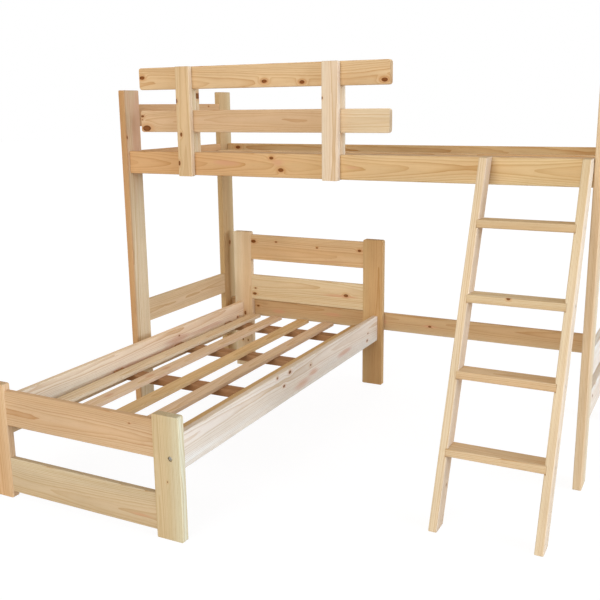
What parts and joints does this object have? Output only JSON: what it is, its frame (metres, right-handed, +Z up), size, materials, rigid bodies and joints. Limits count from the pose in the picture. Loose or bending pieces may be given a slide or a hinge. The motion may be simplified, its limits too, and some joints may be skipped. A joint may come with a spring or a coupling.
{
  "type": "l shaped bunk bed",
  "caption": "Pine loft with a lift-off guard and a leaning ladder, over a single bed set crosswise under it and reaching out to the front.",
  "frame": {"origin": "on the floor, at the middle of the whole outline", "axes": "+X along the loft toward the ladder, +Y from the front to the back, +Z up from the floor"},
  "size_m": [2.255, 2.0322, 1.728],
  "materials": {
    "planed_pine": "planed pine, clear matt lacquer",
    "pale_pine": "planed pale pine, clear matt lacquer",
    "slat_pine": "planed pine, clear matt lacquer",
    "base_pine": "sawn and planed pine, unfinished",
    "zinc_steel": "zinc plated"
  },
  "bodies": {
    "loft_frame": {"post_front_left": "planed_pine", "post_front_right": "planed_pine", "post_back_left": "planed_pine", "post_back_right": "planed_pine", "front_rail": "planed_pine", "back_rail": "planed_pine", "back_stretcher": "planed_pine", "end_guard_left": "planed_pine", "end_rail_left": "planed_pine", "end_stretcher_left": "planed_pine", "end_guard_right": "planed_pine", "end_rail_right": "planed_pine", "end_stretcher_right": "planed_pine", "end_low_board_right": "planed_pine", "loft_ledger_front": "base_pine", "loft_ledger_back": "base_pine", "loft_bearer_1": "base_pine", "loft_bearer_2": "base_pine", "loft_bearer_3": "base_pine", "loft_bearer_4": "base_pine", "loft_slats": "slat_pine", "loft_bolts": "zinc_steel", "loft_nuts": "zinc_steel"},
    "guard_unit": {"guard_board_top": "planed_pine", "guard_board_middle": "planed_pine", "guard_front_upright_left": "pale_pine", "guard_front_upright_right": "pale_pine", "guard_rear_upright_left": "pale_pine", "guard_rear_upright_right": "pale_pine", "guard_spacer_low_left": "pale_pine", "guard_spacer_low_right": "pale_pine", "guard_spacer_high_left": "pale_pine", "guard_spacer_high_right": "pale_pine", "guard_screws": "zinc_steel"},
    "ladder": {"ladder_stile_left": "pale_pine", "ladder_stile_right": "pale_pine", "ladder_rung_1": "pale_pine", "ladder_rung_2": "pale_pine", "ladder_rung_3": "pale_pine", "ladder_rung_4": "pale_pine", "ladder_screws": "zinc_steel"},
    "lower_bed": {"foot_post_left": "planed_pine", "foot_post_right": "planed_pine", "foot_board_low": "planed_pine", "foot_board_top": "planed_pine", "head_post_left": "planed_pine", "head_post_right": "planed_pine", "head_board_middle": "planed_pine", "head_board_top": "planed_pine", "side_rail_left": "planed_pine", "side_rail_right": "planed_pine", "bed_ledger_left": "base_pine", "bed_ledger_right": "base_pine", "bed_bearer_1": "base_pine", "bed_bearer_2": "base_pine", "bed_bearer_3": "base_pine", "bed_bearer_4": "base_pine", "bed_slats": "slat_pine", "bed_bolts": "zinc_steel", "bed_nuts": "zinc_steel"}
  },
  "joints": [
    {"name": "guard_lift", "type": "slide", "parent": "loft_frame", "child": "guard_unit", "axis": [0, 0, 1], "range_m": [0, 0.2]},
    {"name": "ladder_pull", "type": "slide", "parent": "loft_frame", "child": "ladder", "axis": [0, -1, 0], "range_m": [0, 0.4]},
    {"name": "bed_pull", "type": "slide", "parent": "loft_frame", "child": "lower_bed", "axis": [0, -1, 0], "range_m": [0, 0.9]}
  ]
}
